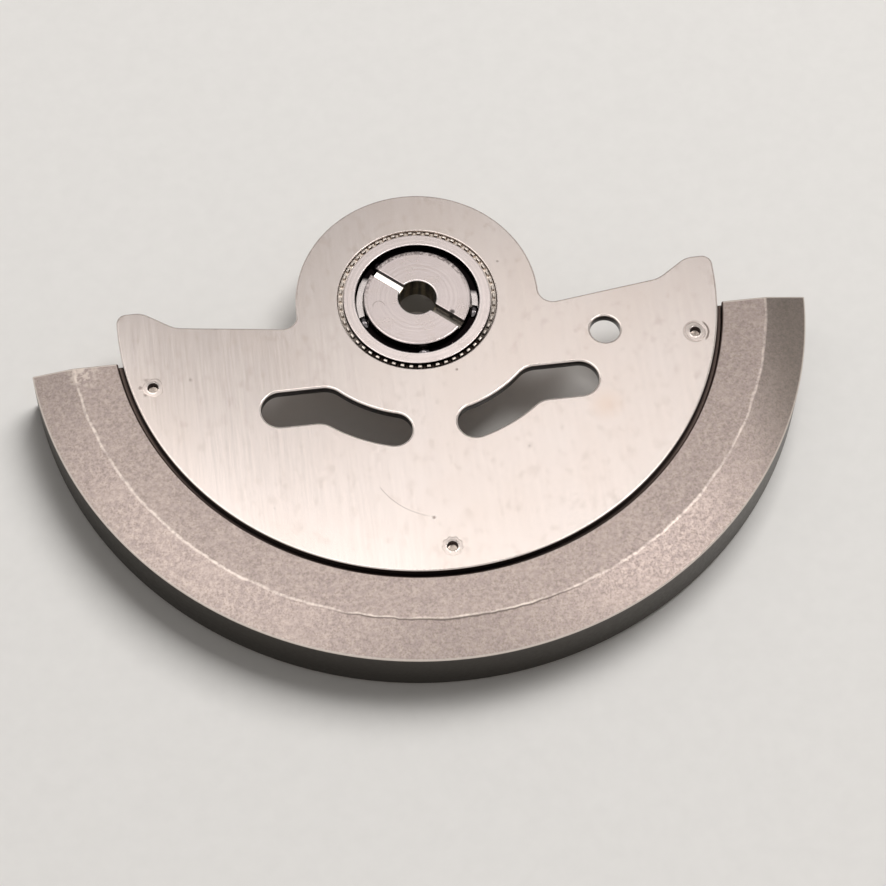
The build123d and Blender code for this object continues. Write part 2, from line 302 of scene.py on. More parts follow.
def layered(tree, colour, layers):
    """Colour with layers laid over it in turn, each a share from 0 to 1 and a colour."""
    for share, over in layers:
        colour = add(tree, "Mix", {0: share, 6: colour, 7: over}, out=2, data_type="RGBA")
    return colour


def brushed_nickel():
    """Nickel plate over a stamped blank that was brushed along Y. The eye sees a soft, warm pale grey with
    fine upright lines, faint clouds from handling, a few specks and nicks, and a shallow dent by the right
    rivet drawn as painted shade. The sheared walls in the punched holes and the joint are painted dark as
    shade, and the far side of the bearing hole's wall lighter as painted light."""
    colour = "#DDD3CE"
    made, t, shader, place = finish("Nickel_plated_brushed_sheet", colour, 1.0, 0.25)
    # Brush lines are 0.01 mm wide on the real sheet. They are drawn 0.05 mm wide so that they show.
    fine = add(t, "Mapping", {"Vector": place, "Scale": steps(0.05, 1.8, 1.8)})
    lines = add(t, "TexNoise", fine, 0, 1, 3)
    wide = add(t, "Mapping", {"Vector": place, "Scale": steps(0.16, 5.0, 5.0)})
    broad_lines = add(t, "TexNoise", wide, 0, 1, 2)
    soft = add(t, "Mapping", {"Vector": place, "Scale": steps(2.2, 3.0, 2.6)})
    clouds = add(t, "TexNoise", soft, 0, 1, 3)
    small = add(t, "Mapping", {"Vector": place, "Scale": steps(0.30, 0.42, 0.42)})
    spots = add(t, "TexNoise", small, 0, 1, 3)
    x, y, z = (add(t, "SeparateXYZ", place, out=axis) for axis in "XYZ")
    radius = off_axis(t, place)
    layers = [
        (add(t, "MapRange", lines, 0.35, 0.65, 0.0, 0.24), srgb("#CFC4BE")),
        (add(t, "MapRange", broad_lines, 0.35, 0.65, 0.0, 0.16), srgb("#E8DFDA")),
        (add(t, "MapRange", clouds, 0.42, 0.70, 0.0, 0.30), srgb("#D6C8BF")),
        (add(t, "MapRange", spots, 0.56, 0.72, 0.0, 0.22), srgb("#BFAFA5")),
    ]
    sheet = layered(t, srgb(colour), layers)
    # Handling marks on the top face: middle, radius and strength. The fifth to seventh are smears by the
    # left rivet.
    places = ((-0.47, -8.25, 0.06, 0.7), (0.98, -2.86, 0.05, 0.6), (2.90, 1.15, 0.05, 0.5),
              (-7.90, -2.20, 0.06, 0.35), (-9.58, -2.31, 0.07, 0.6), (-9.43, -2.60, 0.07, 0.5),
              (-9.36, -2.05, 0.07, 0.4), (3.0, -6.0, 0.03, 0.4), (-5.6, -7.3, 0.03, 0.3))
    marks = []
    for mark_x, mark_y, size, strength in places:
        away = off_axis(t, place, mark_x, mark_y)
        mark = add(t, "MapRange", away, size * 0.5 * MM, size * 1.3 * MM, strength, 0.0)
        marks.append((mark, srgb("#7D716A")))
    stain = add(t, "MapRange", off_axis(t, place, 5.75, -4.75), 0.1 * MM, 0.7 * MM, 0.22, 0.0)
    marks.append((stain, srgb("#D9B79B")))
    # A curved scratch above the lower rivet, which fades to the right
    scratch = band(t, off_axis(t, place, 0.12, -5.8), 2.49, 0.004, 0.016)
    part = add(t, "Math", add(t, "MapRange", x, -1.0 * MM, -0.2 * MM, 0.5, 0.0),
               add(t, "MapRange", y, -6.9 * MM, -7.0 * MM), operation="MULTIPLY")
    marks.append((add(t, "Math", scratch, part, operation="MULTIPLY"), srgb("#9C8B80")))
    # Painted shade of a shallow ring dent round the right rivet: a dark crescent outside it, and a faint
    # ring on its other side
    round_rivet = off_axis(t, place, *RIVETS[1])
    dent_painted_shade = add(t, "Math", band(t, round_rivet, 0.445, 0.016, 0.030),
                   add(t, "MapRange", x, 9.43 * MM, 9.51 * MM, 0.0, 0.8), operation="MULTIPLY")
    marks.append((dent_painted_shade, srgb("#5E5049")))
    faint = add(t, "Math", band(t, round_rivet, 0.385, 0.010, 0.050),
                add(t, "MapRange", x, 9.40 * MM, 9.20 * MM, 0.0, 0.45), operation="MULTIPLY")
    marks.append((faint, srgb("#94877F")))
    layers = [(add(t, "MapRange", z, 1.05 * MM, 1.07 * MM), layered(t, sheet, marks))]
    # Painted shade: the walls of the holes and of the joint are dark. The rest of the outer wall is as pale
    # as the top.
    wall = add(t, "Math", add(t, "MapRange", z, 1.035 * MM, 1.055 * MM, 1.0, 0.0),
               add(t, "MapRange", z, 0.752 * MM, 0.77 * MM), operation="MULTIPLY")
    holed = add(t, "Math", add(t, "MapRange", y, -1.20 * MM, -1.35 * MM),
                add(t, "MapRange", radius, 2.9 * MM, 2.8 * MM), operation="MAXIMUM")
    layers.append((add(t, "Math", wall, holed, operation="MULTIPLY"), srgb("#2A2321")))
    # Painted light: the bearing hole's wall is lighter towards the far side
    far_hole_wall_painted_light = add(t, "Math", add(t, "MapRange", radius, 2.9 * MM, 2.8 * MM),
                 add(t, "MapRange", y, -1.6 * MM, 0.6 * MM), operation="MULTIPLY")
    layers.append((add(t, "Math", wall, far_hole_wall_painted_light, operation="MULTIPLY"), srgb("#8A7A70")))
    t.links.new(layered(t, sheet, layers), shader.inputs["Base Color"])
    t.links.new(add(t, "MapRange", lines, 0.30, 0.70, 0.235, 0.205), shader.inputs["Roughness"])
    bump = add(t, "Bump", {"Height": lines, "Strength": 0.14, "Distance": 0.002 * MM})
    t.links.new(bump, shader.inputs["Normal"])
    return made


def sintered_alloy():
    """Tungsten alloy, pressed, sintered, tumbled and flash plated. The eye sees a matte, mottled grey-beige
    top with a pale ridge line and pale edges. The bevel's right end, the outer wall and the joint with the
    plate are painted dark as shade."""
    colour = "#A39692"
    made, t, shader, place = finish("Tumbled_tungsten_alloy", colour, 1.0, 0.38)
    # Powder grains are 0.03 mm. The mottle that they leave is drawn from 0.07 mm up. Each pattern has its
    # size in millimetres and its detail.
    grains, mottle, wobble, patches = (
        add(t, "TexNoise", add(t, "Mapping", {"Vector": place, "Scale": steps(s, s, s)}), 0, 1, detail)
        for s, detail in ((0.07, 3), (0.15, 4), (0.6, 2), (1.1, 2)))
    x, y, z = (add(t, "SeparateXYZ", place, out=axis) for axis in "XYZ")
    radius = off_axis(t, place)
    layers = [
        (add(t, "MapRange", mottle, 0.36, 0.66, 0.0, 0.65), srgb("#BDAFA6")),
        (add(t, "MapRange", grains, 0.45, 0.68, 0.0, 0.58), srgb("#857971")),
        (add(t, "MapRange", patches, 0.50, 0.72, 0.0, 0.35), srgb("#B3A59E")),
    ]
    # The bevel is drawn darker towards the right end, as painted shade
    above_wall = add(t, "MapRange", z, 0.66 * MM, 0.70 * MM)
    bevel_painted_shade = add(t, "Math", add(t, "MapRange", radius, (RIDGE + 0.02) * MM, (RIDGE + 0.06) * MM),
                add(t, "MapRange", x, 10.4 * MM, 12.2 * MM, 0.0, 0.45), operation="MULTIPLY")
    between_ends = add(t, "Math", above_wall, add(t, "MapRange", y, -1.262 * MM, -1.285 * MM),
                       operation="MULTIPLY")
    layers.append((add(t, "Math", bevel_painted_shade, between_ends, operation="MULTIPLY"), srgb("#5F5B50")))
    # The ridge wanders and fades in places. It is a pale line, with a dark one outside it at the bottom.
    wander = add(t, "Math", wobble, 0.14 * MM, radius, operation="MULTIPLY_ADD")
    broken = add(t, "Math", add(t, "MapRange", mottle, 0.36, 0.56, 0.25, 0.70),
                 add(t, "MapRange", patches, 0.38, 0.58, 0.45, 1.0), operation="MULTIPLY")
    on_top = add(t, "MapRange", z, 0.96 * MM, 0.99 * MM)
    ridge = add(t, "Math", band(t, wander, RIDGE + 0.066, 0.020, 0.045), on_top, operation="MULTIPLY")
    layers.append((add(t, "Math", ridge, broken, operation="MULTIPLY"), srgb("#DCD1C8")))
    sideways = add(t, "Math", x, operation="ABSOLUTE")
    at_bottom = add(t, "MapRange", sideways, 4.6 * MM, 3.2 * MM, 0.0, 0.8)
    crease = add(t, "Math", band(t, wander, RIDGE + 0.110, 0.012, 0.030), on_top, operation="MULTIPLY")
    layers.append((add(t, "Math", crease, at_bottom, operation="MULTIPLY"), srgb("#5F5550")))
    # Pale edges: the outer rim, the flat ends, and a worn pale patch by the left end
    rim = add(t, "Math", band(t, radius, ROTOR, 0.030, 0.030), above_wall, operation="MULTIPLY")
    ends = add(t, "Math", band(t, y, -1.285, 0.018, 0.02), between_ends, operation="MULTIPLY")
    bright = add(t, "Math", add(t, "Math", rim, ends, operation="MAXIMUM"), 0.75, operation="MULTIPLY")
    layers.append((bright, srgb("#E6DCD3")))
    patch = add(t, "MapRange", off_axis(t, place, -11.55, -1.45), 0.15 * MM, 0.75 * MM, 0.8, 0.0)
    raised = add(t, "Math", add(t, "MapRange", mottle, 0.42, 0.56), on_top, operation="MULTIPLY")
    layers.append((add(t, "Math", patch, raised, operation="MULTIPLY"), srgb("#D2C6BC")))
    # Walls, painted as shade: dark outside, near-black in the joint with the plate but for the ledge's
    # floor, dull below
    outer_wall_painted_shade = add(t, "Math", add(t, "MapRange", radius, 13.11 * MM, 13.16 * MM),
                  add(t, "MapRange", z, 0.70 * MM, 0.67 * MM), operation="MULTIPLY")
    layers.append((outer_wall_painted_shade, srgb("#4F4B46")))
    joint = add(t, "Math", add(t, "MapRange", radius, 10.39 * MM, 10.375 * MM),
                add(t, "MapRange", z, 0.70 * MM, 0.76 * MM), operation="MULTIPLY")
    layers.append((joint, srgb("#5E504B")))
    deep_painted_shadow = add(t, "Math", joint, add(t, "MapRange", z, 0.985 * MM, 0.965 * MM), operation="MULTIPLY")
    layers.append((deep_painted_shadow, srgb("#161111")))
    ledge = add(t, "Math", band(t, z, PLATE_FOOT, 0.02, 0.02),
                add(t, "MapRange", radius, 10.20 * MM, 10.27 * MM), operation="MULTIPLY")
    layers.append((add(t, "Math", joint, ledge, operation="MULTIPLY"), srgb("#6A5C56")))
    t.links.new(layered(t, srgb(colour), layers), shader.inputs["Base Color"])
    t.links.new(add(t, "MapRange", mottle, 0.35, 0.65, 0.42, 0.36), shader.inputs["Roughness"])
    bump = add(t, "Bump", {"Height": grains, "Strength": 0.6, "Distance": 0.004 * MM})
    t.links.new(bump, shader.inputs["Normal"])
    return made


def turned_face(name, colour, roughness):
    """Hardened bearing steel, ground and polished on its face: its material, node tree, shader, place,
    distance from the axis, height, roughness and the first layers of its colour. The eye sees hair-fine
    turning rings and faint smears of oil."""
    made, t, shader, place = finish(name, colour, 1.0, roughness)
    radius = off_axis(t, place)
    # Turning rings are 0.02 mm apart on the real face. They are drawn 0.08 mm apart so that they show.
    count = add(t, "Math", radius, 1 / (0.08 * MM), operation="MULTIPLY")
    rings = add(t, "TexNoise", {"W": count, "Scale": 1.0, "Detail": 2.0}, noise_dimensions="1D")
    drawn_out = add(t, "Mapping", {"Vector": place, "Scale": steps(0.8, 0.5, 0.8)})
    smears = add(t, "TexNoise", drawn_out, 0, 1, 3)
    layers = [
        (add(t, "MapRange", rings, 0.35, 0.65, 0.0, 0.28), srgb("#C3B6B4")),
        (add(t, "MapRange", smears, 0.50, 0.75, 0.0, 0.35), srgb("#D2C4BC")),
    ]
    bump = add(t, "Bump", {"Height": rings, "Strength": 0.1, "Distance": 0.002 * MM})
    t.links.new(bump, shader.inputs["Normal"])
    gloss = add(t, "MapRange", smears, 0.3, 0.7, roughness * 0.9, roughness * 1.2)
    return made, t, shader, place, radius, add(t, "SeparateXYZ", place, out="Z"), gloss, layers


def race_finish():
    """Outer race: a pale, faintly pink face between walls painted near-black as shade, with painted light
    on the far side of the outer wall.
    """
    colour = "#EADFDC"
    made, t, shader, place, radius, z, gloss, layers = turned_face("Polished_race_steel", colour, 0.24)
    inner_edge = band(t, radius, RACE_INNER, 0.05, 0.05)
    layers.append((add(t, "Math", inner_edge, 0.6, operation="MULTIPLY"), srgb("#EFE6E4")))
    # Painted shade on the walls, and painted light on the far side of the outer wall
    race_walls_painted_shade = add(t, "Math", add(t, "MapRange", z, 1.135 * MM, 1.115 * MM),
               add(t, "MapRange", z, 0.16 * MM, 0.20 * MM), operation="MULTIPLY")
    layers.append((race_walls_painted_shade, srgb("#1A1516")))
    y = add(t, "SeparateXYZ", place, out="Y")
    far_side_painted_light = add(t, "Math", add(t, "MapRange", radius, 2.35 * MM, 2.45 * MM),
                add(t, "MapRange", y, -1.0 * MM, 1.0 * MM), operation="MULTIPLY")
    layers.append((add(t, "Math", race_walls_painted_shade, far_side_painted_light, operation="MULTIPLY"), srgb("#77695F")))
    t.links.new(layered(t, srgb(colour), layers), shader.inputs["Base Color"])
    t.links.new(gloss, shader.inputs["Roughness"])
    return made


def hub_finish():
    """Hub: a pale pink face with a nibbled rim, drawn darker on the far side as painted shade, a driver slot
    whose floor has a painted highlight on one half and painted shade on the other, walls painted
    near-black as shade, and a bore painted dark brown as shade, with painted glints and a pale foot."""
    colour = "#DBD0CE"
    made, t, shader, place, radius, z, gloss, layers = turned_face("Polished_hub_steel", colour, 0.24)
    y = add(t, "SeparateXYZ", place, out="Y")
    close_set = add(t, "Mapping", {"Vector": place, "Scale": steps(0.09, 0.09, 0.09)})
    nicks = add(t, "TexNoise", close_set, 0, 1, 3)
    # The rim's nicks are wear, and drawing them darker on the far side is painted shade of its rounded edge
    far = add(t, "MapRange", y, 0.1 * MM, 0.9 * MM, 0.1, 0.9)
    rim = add(t, "Math", band(t, radius, 1.735, 0.05, 0.03), far, operation="MULTIPLY")
    nibbled = add(t, "Math", rim, add(t, "MapRange", nicks, 0.34, 0.56), operation="MULTIPLY")
    layers.append((nibbled, srgb("#857C7A")))
    hook = band(t, off_axis(t, place, -1.33, -0.20), 0.20, 0.006, 0.018)
    upper = add(t, "MapRange", y, -0.26 * MM, -0.12 * MM, 0.0, 0.5)
    layers.append((add(t, "Math", hook, upper, operation="MULTIPLY"), srgb("#8D8281")))
    bore_edge = band(t, radius, BORE, 0.035, 0.03)
    layers.append((add(t, "Math", bore_edge, 0.7, operation="MULTIPLY"), srgb("#F1E9E6")))
    # Below the face, painted as light and shade: dark walls, then the slot's floor, whose two halves differ,
    # then the bore
    walls = add(t, "Math", add(t, "MapRange", z, 1.192 * MM, 1.172 * MM),
                add(t, "MapRange", z, 0.10 * MM, 0.16 * MM), operation="MULTIPLY")
    layers.append((walls, srgb("#241E1D")))
    # Painted shade: the slot's floor is grey. Painted highlight: its upper-left half is near white.
    slot_floor = add(t, "Math", band(t, z, 0.96, 0.035, 0.01),
                     add(t, "MapRange", radius, 0.66 * MM, 0.70 * MM), operation="MULTIPLY")
    layers.append((slot_floor, srgb("#857F78")))
    slot_direction = (np.cos(SLOT_TURN), np.sin(SLOT_TURN), 0)
    along = add(t, "VectorMath", place, slot_direction, out="Value", operation="DOT_PRODUCT")
    upper_left_half = add(t, "MapRange", along, 0.1 * MM, -0.1 * MM)
    slot_painted_highlight = add(t, "Math", slot_floor, upper_left_half, operation="MULTIPLY")
    layers.append((slot_painted_highlight, srgb("#FFFBF6")))
    t.links.new(add(t, "Mix", {0: slot_painted_highlight, 2: gloss, 3: 0.08}), shader.inputs["Roughness"])
    # Painted shadow of a burr by the slot: a dark spot above the floor
    notch_painted_shade = add(t, "MapRange", off_axis(t, place, 1.10, -0.70), 0.05 * MM, 0.12 * MM, 0.85, 0.0)
    above_floor = add(t, "MapRange", z, 0.90 * MM, 0.93 * MM)
    layers.append((add(t, "Math", notch_painted_shade, above_floor, operation="MULTIPLY"), srgb("#1E1A19")))
    # Painted shade: the bore's wall is dark brown with painted glints, and below 0.28 mm it is painted pale
    # like the floor seen down the bore
    bore = add(t, "MapRange", radius, 0.672 * MM, 0.664 * MM)
    upright = add(t, "Mapping", {"Vector": place, "Scale": steps(0.25, 0.25, 3.0)})
    bore_painted_glints = add(t, "MapRange", add(t, "TexNoise", upright, 0, 1, 2), 0.4, 0.6)
    inside = add(t, "Math", bore, add(t, "MapRange", z, 1.195 * MM, 1.18 * MM), operation="MULTIPLY")
    layers.append((inside, layered(t, srgb("#4A443A"), [(bore_painted_glints, srgb("#857A62"))])))
    bore_foot_painted_pale = add(t, "Math", bore, add(t, "MapRange", z, 0.30 * MM, 0.28 * MM), operation="MULTIPLY")
    layers.append((bore_foot_painted_pale, srgb("#BBB8B4")))
    t.links.new(layered(t, srgb(colour), layers), shader.inputs["Base Color"])
    return made


def rolled_steel(name, colour, roughness, grain):
    """Small steel pieces, cut and rolled, with a thin oil film: material, node tree, shader, place and a
    pattern of patches. The eye sees an uneven gloss, without a clear grain."""
    made, t, shader, place = finish(name, colour, 1.0, roughness)
    even = add(t, "Mapping", {"Vector": place, "Scale": steps(grain, grain, grain)})
    patches = add(t, "TexNoise", even, 0, 1, 3)
    gloss = add(t, "MapRange", patches, 0.3, 0.7, roughness * 0.8, roughness * 1.4)
    t.links.new(gloss, shader.inputs["Roughness"])
    return made, t, shader, place, patches


def carrier_finish():
    """Carrier: bright tops on the knurl, notches between them painted dark as shade and lighter on the far
    side as painted light, and a plain cut gear with darker patches."""
    colour = "#E2D8CF"
    made, t, shader, place, patches = rolled_steel("Knurled_carrier_steel", colour, 0.26, 0.3)
    y, z = (add(t, "SeparateXYZ", place, out=axis) for axis in "YZ")
    # Painted shade in the knurl's notches, lightened on the far side as painted light
    notch_painted_shade = add(t, "Math", add(t, "MapRange", z, 1.095 * MM, 1.05 * MM),
                add(t, "MapRange", z, 0.80 * MM, 0.85 * MM), operation="MULTIPLY")
    far_side_painted_light = add(t, "MapRange", y, -1.8 * MM, 0.2 * MM)
    oil = layered(t, srgb("#2C2420"), [(far_side_painted_light, srgb("#D9CEC4"))])
    layers = [(add(t, "MapRange", patches, 0.40, 0.72, 0.0, 0.30), srgb("#8E8580")), (notch_painted_shade, oil)]
    t.links.new(layered(t, srgb(colour), layers), shader.inputs["Base Color"])
    return made


def rivet_finish():
    """Rivets: staked flush and plated with the sheet, so as pale as it, with a thin bright lip, a faint line
    at their rim and a pit whose walls are painted dark as shade, with a duller floor."""
    colour = "#CFC4BE"
    made, t, shader, place, _ = rolled_steel("Staked_rivet_steel", colour, 0.27, 0.2)
    z = add(t, "SeparateXYZ", place, out="Z")
    # The pit's dark walls are painted shade
    layers = [(add(t, "MapRange", z, 1.1041 * MM, 1.1055 * MM, 0.0, 0.7), srgb("#F0E8E2")),
              (band(t, z, 1.1005, 0.0012, 0.0008), srgb("#B4A8A0")),
              (band(t, z, 0.975, 0.105, 0.018), srgb("#645A5A")),
              (add(t, "MapRange", z, 0.870 * MM, 0.852 * MM), srgb("#B3A89F"))]
    t.links.new(layered(t, srgb(colour), layers), shader.inputs["Base Color"])
    return made


def cage_finish():
    """Cage: a pressed steel ring, bright with darker patches on its two side lands, and painted black as
    shade elsewhere."""
    colour = "#E8E0DE"
    made, t, shader, place, patches = rolled_steel("Cage_steel_painted_shade", colour, 0.24, 0.5)
    x, y = (add(t, "SeparateXYZ", place, out=axis) for axis in "XY")
    # Painted shade: all but the two side lands is black
    above = add(t, "MapRange", y, -0.62 * MM, -0.50 * MM)
    slope = add(t, "Math", x, 0.25, y, operation="MULTIPLY_ADD")
    beneath = add(t, "MapRange", slope, 0.72 * MM, 0.55 * MM)
    painted_lit_lands = add(t, "Math", above, beneath, operation="MULTIPLY")
    layers = [(add(t, "MapRange", patches, 0.40, 0.72, 0.0, 0.30), srgb("#8E8580")),
              (add(t, "Math", 1.0, painted_lit_lands, operation="SUBTRACT"), srgb("#120E0F"))]
    t.links.new(layered(t, srgb(colour), layers), shader.inputs["Base Color"])
    return made


def ball_finish():
    """Balls: lapped steel painted dark as shade but for small highlights, and painted black as shade on the
    two balls behind the hub."""
    colour = "#7C787A"
    made, t, shader, place, _ = rolled_steel("Lapped_ball_steel", colour, 0.10, 1.5)
    y = add(t, "SeparateXYZ", place, out="Y")
    # Painted shade: a dark base, and black on the two balls behind the hub
    layers = [(add(t, "MapRange", y, 0.1 * MM, 0.8 * MM), srgb("#141113"))]
    t.links.new(layered(t, srgb(colour), layers), shader.inputs["Base Color"])
    return made


nickel = brushed_nickel()
alloy = sintered_alloy()
race_steel = race_finish()
hub_steel = hub_finish()
carrier_steel = carrier_finish()
rivet_steel = rivet_finish()
cage_steel = cage_finish()
ball_steel = ball_finish()

# Plate. Each edge is a loop of points with the sheet on its left, whose top edge the press rolled over.
# A horn has a round tip, and its upper side falls from a rounded crest to a foot and a fillet at the boss.
rise, tip_round = 0.57, 0.35
top_inset, top_round = 0.88, 0.80
foot_inset, foot_depth, foot_round = 1.93, 0.14, 1.00
boss_fillet = 0.50
tip = np.array([np.sqrt((PLATE - tip_round) ** 2 - (rise - tip_round) ** 2), rise - tip_round])
crest, foot = np.array([PLATE - top_inset, rise]), np.array([PLATE - foot_inset, -foot_depth])
shoulder = np.array([BOSS - 0.60, -0.76])
down = unit(shoulder - foot)
upward = np.array([down[1], -down[0]])
base = foot + upward * boss_fillet
run = -base @ down - np.sqrt((base @ down) ** 2 - base @ base + (BOSS + boss_fillet) ** 2)
neck = base + down * run
slopes = rounded([(PLATE, rise, 0), (*crest, top_round), (*foot, foot_round), (*shoulder, 0), (0, -9, 0)], 6)
neck_start, neck_end = heading(-upward), heading(-neck)
right_side = np.concatenate([
    arc((0, 0), PLATE, -90, 90 + heading(tip), 150),
    arc(tip, tip_round, heading(tip), 90 - heading(tip), 14)[1:],
    slopes[9:27],              # the crest and the foot, nine points each
    arc(neck, boss_fillet, neck_start, (neck_end - neck_start) % 360 - 360, 14),
    arc((0, 0), BOSS, heading(neck), 90 - heading(neck), 70)[1:],
])
plate_edge = np.concatenate([right_side, (right_side * [-1, 1])[-2:0:-1]])

# S-shaped cut-out on the right: along the outer arc, the straight part, its round end, and back along the
# inner arc to the round tip
cut_tip, cut_middle, cut_half = -74.3, 5.035, 0.595
straight_y, straight_half, straight_end, elbow_round = -3.667, 0.645, 5.02, 0.80
outer_r, inner_r = cut_middle + cut_half, cut_middle - cut_half
low_y, high_y = straight_y - straight_half - elbow_round, straight_y + straight_half - elbow_round
low_elbow = np.array([np.sqrt((outer_r + elbow_round) ** 2 - low_y ** 2), low_y])
high_elbow = np.array([np.sqrt((inner_r + elbow_round) ** 2 - high_y ** 2), high_y])
cutout = np.concatenate([
    arc((0, 0), outer_r, cut_tip, heading(low_elbow) - cut_tip, 40),
    arc(low_elbow, elbow_round, heading(low_elbow) + 180, -90 - heading(low_elbow), 14)[1:],
    arc((straight_end, straight_y), straight_half, -90, 180, 36),
    arc(high_elbow, elbow_round, 90, heading(high_elbow) + 90, 14),
    arc((0, 0), inner_r, heading(high_elbow), cut_tip - heading(high_elbow), 34)[1:],
    arc(arc((0, 0), cut_middle, cut_tip, 0, 1)[0], cut_half, cut_tip + 180, 180, 34)[1:-1],
])
holes = [cutout[::-1], cutout * [-1, 1], arc((6.15, -1.90), 0.51, 0, -360, 65)[:-1],
         arc((0, 0), BEARING_HOLE, 0, -360, 241)[:-1]]
holes += [arc(centre, 0.31, 0, -360, 49)[:-1] for centre in RIVETS]
edge_rounds = [0.05, 0.07, 0.07, 0.06, 0.03, 0.02, 0.02, 0.02]
points, faces, flat = stamped([plate_edge, *holes], edge_rounds, PLATE_TOP, PLATE_FOOT)
piece("plate_sheet", points, faces, nickel, "plate_nickel", "rotor", ["rotor_plate"], flat)

# Weight. Its outline goes round from the ledge under the plate, down, out, up the wall and back over the
# bevel. The foot's outer edge is cut off at 45 degrees.
foot_cut = 0.15
weight_outline = rounded([
    (LEDGE, PLATE_FOOT, 0.05), (LEDGE, LEDGE_FOOT, 0.05), (WEIGHT_INNER, LEDGE_FOOT, 0.03),
    (10.45, WEIGHT_FOOT, 0.05), (ROTOR - foot_cut, WEIGHT_FOOT, 0.04), (ROTOR, WEIGHT_FOOT + foot_cut, 0.04),
    (ROTOR, WEIGHT_RIM, 0.055), (RIDGE, WEIGHT_TOP, 0.35), (WEIGHT_INNER, WEIGHT_TOP, 0.06),
    (WEIGHT_INNER, PLATE_FOOT, 0.03),
])
points, faces, flat = half_ring(weight_outline, WEIGHT_END, 0.03, 300)
piece("weight_half_ring", points, faces, alloy, "heavy_alloy", "rotor", ["weight_segment"], flat)

# Outer race and lower cone
race_outline = rounded([
    (SEAT_OUT, BALL_PLANE, 0.01), (RACE_INNER, SEAT_HIGH, 0.01), (RACE_INNER, RACE_TOP, 0.03),
    (RACE_OUTER, RACE_TOP, 0.03), (RACE_OUTER, RACE_FOOT, 0.03), (RACE_INNER, RACE_FOOT, 0.02),
    (RACE_INNER, SEAT_LOW, 0.01),
][::-1])
ring_piece("race_ring", race_outline, 360, race_steel, "polished_steel", "rotor", ["outer_race"])
cone_cut, cone_gap = 0.16, 0.01
cone_outline = rounded([
    (SEAT_IN, BALL_PLANE, 0.01), (HUB, SEAT_LOW, 0.01), (HUB, cone_cut, 0.03), (HUB - cone_cut, 0.0, 0.03),
    (SHANK + cone_gap, 0.0, 0.02), (SHANK + cone_gap, BALL_PLANE, 0.02),
][::-1])
ring_piece("cone_ring", cone_outline, 240, hub_steel, "hub_steel", "hub", ["lower_cone"])

# Hub: a turned body up to the slot's floor, with the thread on its stud, and two half discs above
thread_pitch, thread_depth, thread_foot, thread_head = 0.25, 0.12, -0.80, -0.02
hub_body = np.array([
    (BORE, SLOT_FLOOR), (BORE, STUD_FOOT), (STUD - 0.08, STUD_FOOT),
    *((STUD, z) for z in np.arange(thread_foot, thread_head, 0.02)), (STUD - thread_depth, 0.02),
    (SHANK, 0.02), (SHANK, BALL_PLANE), (SEAT_IN, BALL_PLANE),
    (SEAT_IN + SLOT_FLOOR - BALL_PLANE, SLOT_FLOOR),
])
radius, height, angle = turned(hub_body, 192)
tooth = np.abs((height / thread_pitch - angle / (2 * np.pi)) % 1 - 0.5) * 2
on_stud = (radius == STUD) & (height < thread_head)
radius = np.where(on_stud, STUD - thread_depth * np.clip(1.25 * tooth - 0.1, 0, 1), radius)
piece("hub_screw", polar(radius, angle, height), quads(*radius.shape, True), hub_steel, "hub_steel", "hub",
      ["slotted_hub"], sharp=50)
disc_foot = SLOT_FLOOR - 0.02
disc_outline = rounded([(BORE, disc_foot, 0.02), (HUB - 0.07, disc_foot, 0.02), (HUB, SEAT_HIGH, 0.02),
                        (HUB, HUB_TOP, 0.05), (BORE, HUB_TOP, 0.04)])
points, faces, flat = half_ring(disc_outline, SLOT_HALF, 0.016, 120)
for name, turn in (("hub_half_low", SLOT_TURN), ("hub_half_high", SLOT_TURN + np.pi)):
    piece(name, spun(points, turn), faces, hub_steel, "hub_steel", "hub", ["slotted_hub"], flat)

# The upper-left half of the slot's floor. It is drawn with a slope of about 1 in 5 across the slot so that
# it shows bright.
strip_half = SLOT_HALF + 0.01
section = rounded([(-strip_half, 0.90, 0.005), (strip_half, 0.90, 0.005), (strip_half, 0.99, 0.005),
                   (-strip_half, 0.93, 0.005)], 2, 0.002)
girth = len(section)
strip = np.concatenate([np.column_stack([np.full(girth, -reach), section]) for reach in (0.66, 1.75)])
strip_ends = [list(range(girth))[::-1], list(range(girth, 2 * girth))]
piece("slot_floor_left", spun(strip, SLOT_TURN), quads(2, girth, False).tolist() + strip_ends, hub_steel,
      "hub_steel", "hub", ["slotted_hub"], (girth, girth + 1))

# Gear carrier: a turned ring whose knurl rises and falls 55 times a turn, and whose flange has 54 teeth
TEETH, KNURLS = 54, 55
root, gear_tip = 3.0995, 3.3644
tooth_share, knurl_share, knurl_height = 0.42, 0.54, 0.12
# Each point is radius, height, share of the tooth's depth, share of the knurl's height
carrier = np.array([
    (2.51, 0.30, 0, 0), (2.80, 0.30, 0, 0), (2.80, 0.45, 0, 0), (root - 0.02, 0.45, 0, 0),
    (root, 0.45, 0.9, 0), (root, 0.47, 1, 0), (root, 0.73, 1, 0), (root, 0.75, 0.9, 0),
    (root - 0.02, 0.75, 0, 0), (2.69, 0.75, 0, 0), (2.69, 0.99, 0, 0), (2.68, 1.0, 0, 0), (2.655, 1.0, 0, 0),
    (KNURL_OUTER, 1.0, 0, 0.05), (KNURL_OUTER, 1.0, 0, 0.8), (2.640, 1.0, 0, 0.95), (2.625, 1.0, 0, 1),
    (2.585, 1.0, 0, 1), (2.570, 1.0, 0, 0.95), (KNURL_INNER, 1.0, 0, 0.8), (KNURL_INNER, 1.0, 0, 0.05),
    (2.555, 1.0, 0, 0), (2.52, 1.0, 0, 0), (2.51, 0.99, 0, 0),
])
radius, height, angle = turned(carrier[:, :2], 1320)
radius = radius + carrier[None, :, 2] * wave(angle, TEETH, tooth_share) * (gear_tip - root)
height = height + carrier[None, :, 3] * wave(angle, KNURLS, knurl_share) * knurl_height
